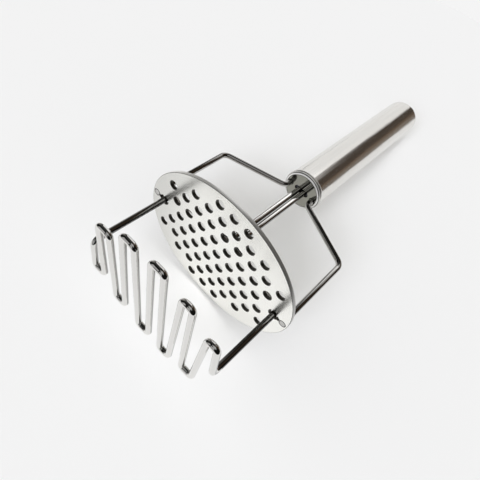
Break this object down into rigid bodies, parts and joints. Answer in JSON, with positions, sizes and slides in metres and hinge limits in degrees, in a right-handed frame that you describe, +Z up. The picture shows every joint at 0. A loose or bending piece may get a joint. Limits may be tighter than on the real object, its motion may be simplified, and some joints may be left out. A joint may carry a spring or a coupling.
{
  "type": "potato masher",
  "caption": "Hand potato masher with a spring-loaded wave of bent wire that pushes back through an oval perforated plate, and a plain tubular handle, lying on a table.",
  "frame": {"origin": "centre of the bounding box at its base: the table on which the plate's rim and the handle's end rest, with the spring relaxed to its stop", "axes": "+Z up from the table; +Y from the wave towards the handle's end, 7.70 degrees above the tool axis; X along the plate's long axis, with the left rod at -X"},
  "size_m": [0.0954, 0.2443, 0.0777],
  "materials": {
    "handle_steel": "fine satin, brushed round the tube",
    "collar_steel": "polished",
    "plate_steel": "satin sheet",
    "wire_steel": "polished stainless wire",
    "spring_steel": "bright spring wire",
    "bush_plastic": "moulded"
  },
  "bodies": {
    "handle_frame": {"handle_tube": "handle_steel", "handle_end_cap": "handle_steel", "collar": "collar_steel", "guide_bush": "bush_plastic", "frame_wire_left": "wire_steel", "frame_wire_right": "wire_steel", "ricer_plate": "plate_steel", "spring_seat": "bush_plastic", "spring": "spring_steel"},
    "plunger": {"masher_wave": "wire_steel", "side_rod_left": "wire_steel", "side_rod_right": "wire_steel", "rod_ferrule": "wire_steel", "spring_washer": "plate_steel"}
  },
  "joints": [
    {"name": "plunger_slide", "type": "slide", "parent": "handle_frame", "child": "plunger", "axis": [0, 0.991, -0.134], "range_m": [0, 0.036], "stiffness_N_per_m": 700, "springref_m": -0.008, "deforming": ["spring"]}
  ]
}
